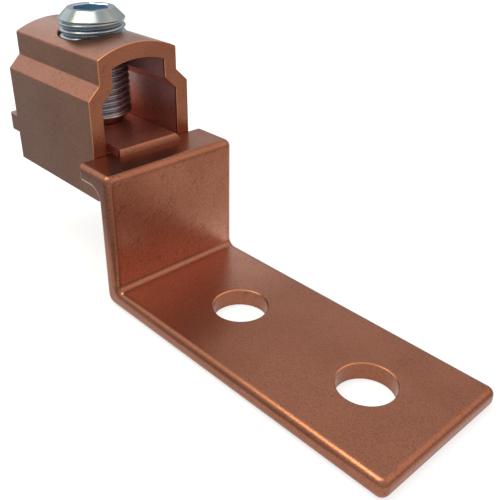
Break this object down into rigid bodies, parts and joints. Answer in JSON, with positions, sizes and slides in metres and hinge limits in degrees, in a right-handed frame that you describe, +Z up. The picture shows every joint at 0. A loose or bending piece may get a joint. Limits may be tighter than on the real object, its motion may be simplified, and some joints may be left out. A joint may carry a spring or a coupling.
{
  "type": "mechanical lug",
  "caption": "Offset copper mechanical lug: bent tongue with a drilled pad, arched box collar, seat plate and hexagon-socket set screw that clamps the wire.",
  "frame": {"origin": "midway between the two bolt holes, on the underside of the pad", "axes": "+X along the lug towards the pad's free end, +Y across it, +Z up, away from the face that is bolted down"},
  "size_m": [0.0915, 0.0254, 0.0432],
  "materials": {
    "tongue_copper": "satin copper, tumbled, finely mottled and lightly scratched",
    "collar_copper": "satin copper, finely mottled",
    "seat_copper": "satin copper",
    "screw_steel": "bright zinc plating, slightly blue"
  },
  "bodies": {
    "tongue": {"tongue": "tongue_copper", "seat_plate": "seat_copper"},
    "collar": {"collar": "collar_copper"},
    "set_screw": {"set_screw": "screw_steel"}
  },
  "joints": [
    {"name": "collar_lift", "type": "slide", "parent": "tongue", "child": "collar", "axis": [0, 0, 1], "range_m": [0, 0.002]},
    {"name": "screw_travel", "type": "slide", "parent": "collar", "child": "set_screw", "axis": [0, 0, 1], "range_m": [0, 0.0128]}
  ]
}
